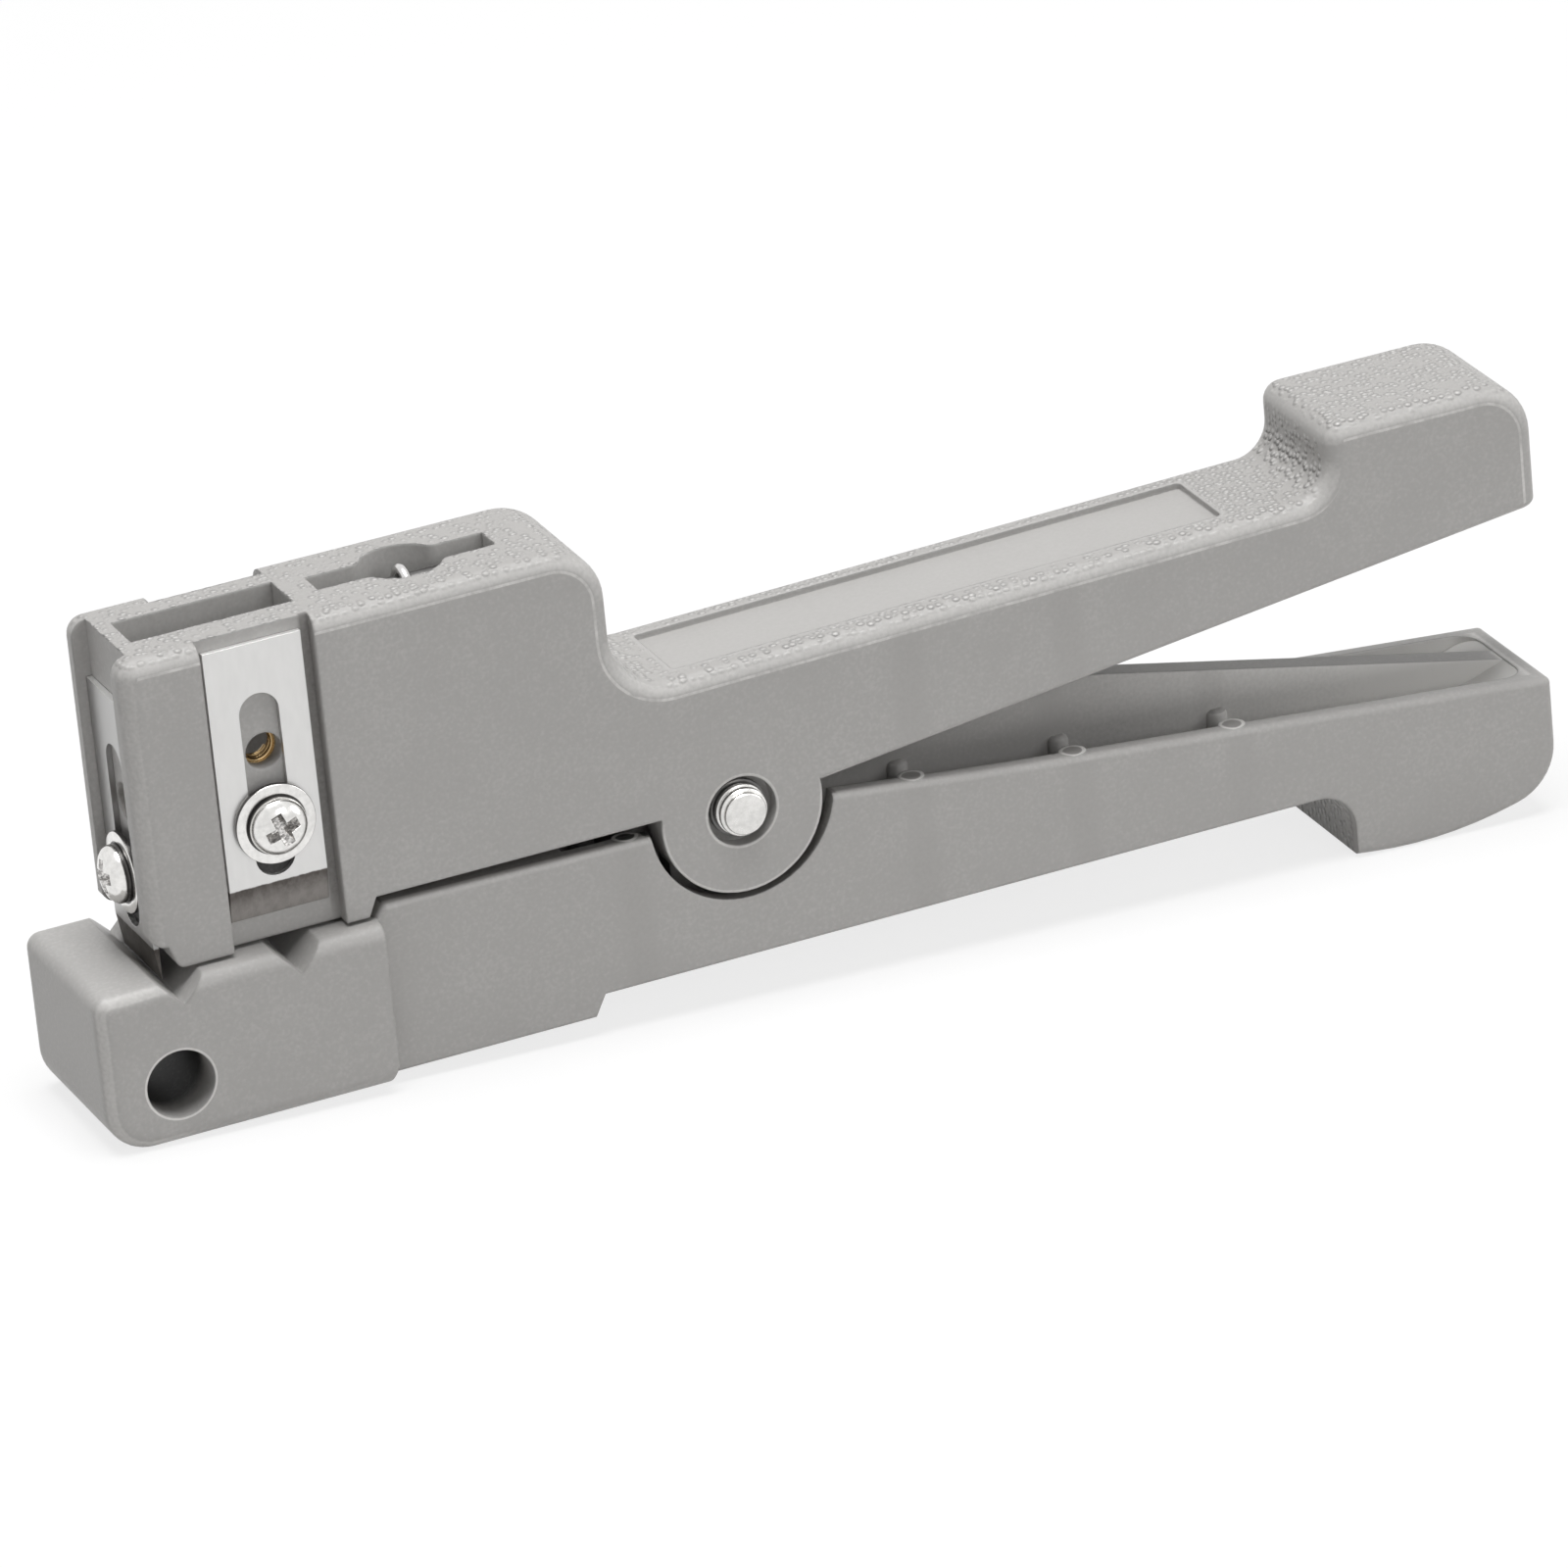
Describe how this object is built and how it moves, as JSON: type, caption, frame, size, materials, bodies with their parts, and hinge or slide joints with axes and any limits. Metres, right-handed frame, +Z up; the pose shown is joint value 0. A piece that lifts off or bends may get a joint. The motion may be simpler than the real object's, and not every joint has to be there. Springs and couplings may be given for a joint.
{
  "type": "coaxial cable stripper",
  "caption": "Spring-closed two-lever coaxial cable stripper with V-grooved jaw, screw-set side and front blades, finger hooks and a hang hole.",
  "frame": {"origin": "bottom centre of the tool's box, in the middle plane between its sides", "axes": "+X along the tool from the jaws to the handle ends, +Y across the tool, +Z up from the lower lever to the upper lever"},
  "size_m": [0.134, 0.0172, 0.0465],
  "materials": {
    "lever_plastic": "warm light grey moulded plastic, fine leather grain on the tops and smooth sides",
    "blade_steel": "satin ground blade steel with a darker ground bevel",
    "screw_nickel": "bright nickel plate",
    "pin_steel": "ground steel pin with bright bevelled ends",
    "insert_brass": "turned brass",
    "spring_wire": "drawn spring wire"
  },
  "bodies": {
    "lower": {"lower_lever": "lever_plastic", "pivot_pin": "pin_steel", "near_pin_ring": "pin_steel", "far_pin_ring": "pin_steel", "lower_spring_pin": "pin_steel", "return_spring": "spring_wire"},
    "upper": {"upper_lever": "lever_plastic", "side_insert_lower": "insert_brass", "side_insert_upper": "insert_brass", "far_insert_lower": "insert_brass", "far_insert_upper": "insert_brass", "front_insert_lower": "insert_brass", "front_insert_upper": "insert_brass", "side_washer": "screw_nickel", "side_screw": "screw_nickel", "front_washer": "screw_nickel", "front_screw": "screw_nickel", "upper_spring_pin": "pin_steel"},
    "side_blade_slide": {"side_blade": "blade_steel"},
    "front_blade_slide": {"front_blade": "blade_steel"}
  },
  "joints": [
    {"name": "lever_pivot", "type": "hinge", "parent": "lower", "child": "upper", "pos_m": [-0.00822, 0, 0.01973], "axis": [0, 1, 0], "range_deg": [0, 8], "stiffness_Nm_per_rad": 0.6, "springref_deg": -17.19, "deforming": ["return_spring"]},
    {"name": "side_blade_set", "type": "slide", "parent": "upper", "child": "side_blade_slide", "axis": [0, 0, 1], "range_m": [-0.002, 0.003]},
    {"name": "front_blade_set", "type": "slide", "parent": "upper", "child": "front_blade_slide", "axis": [0, 0, 1], "range_m": [0, 0.003]}
  ]
}
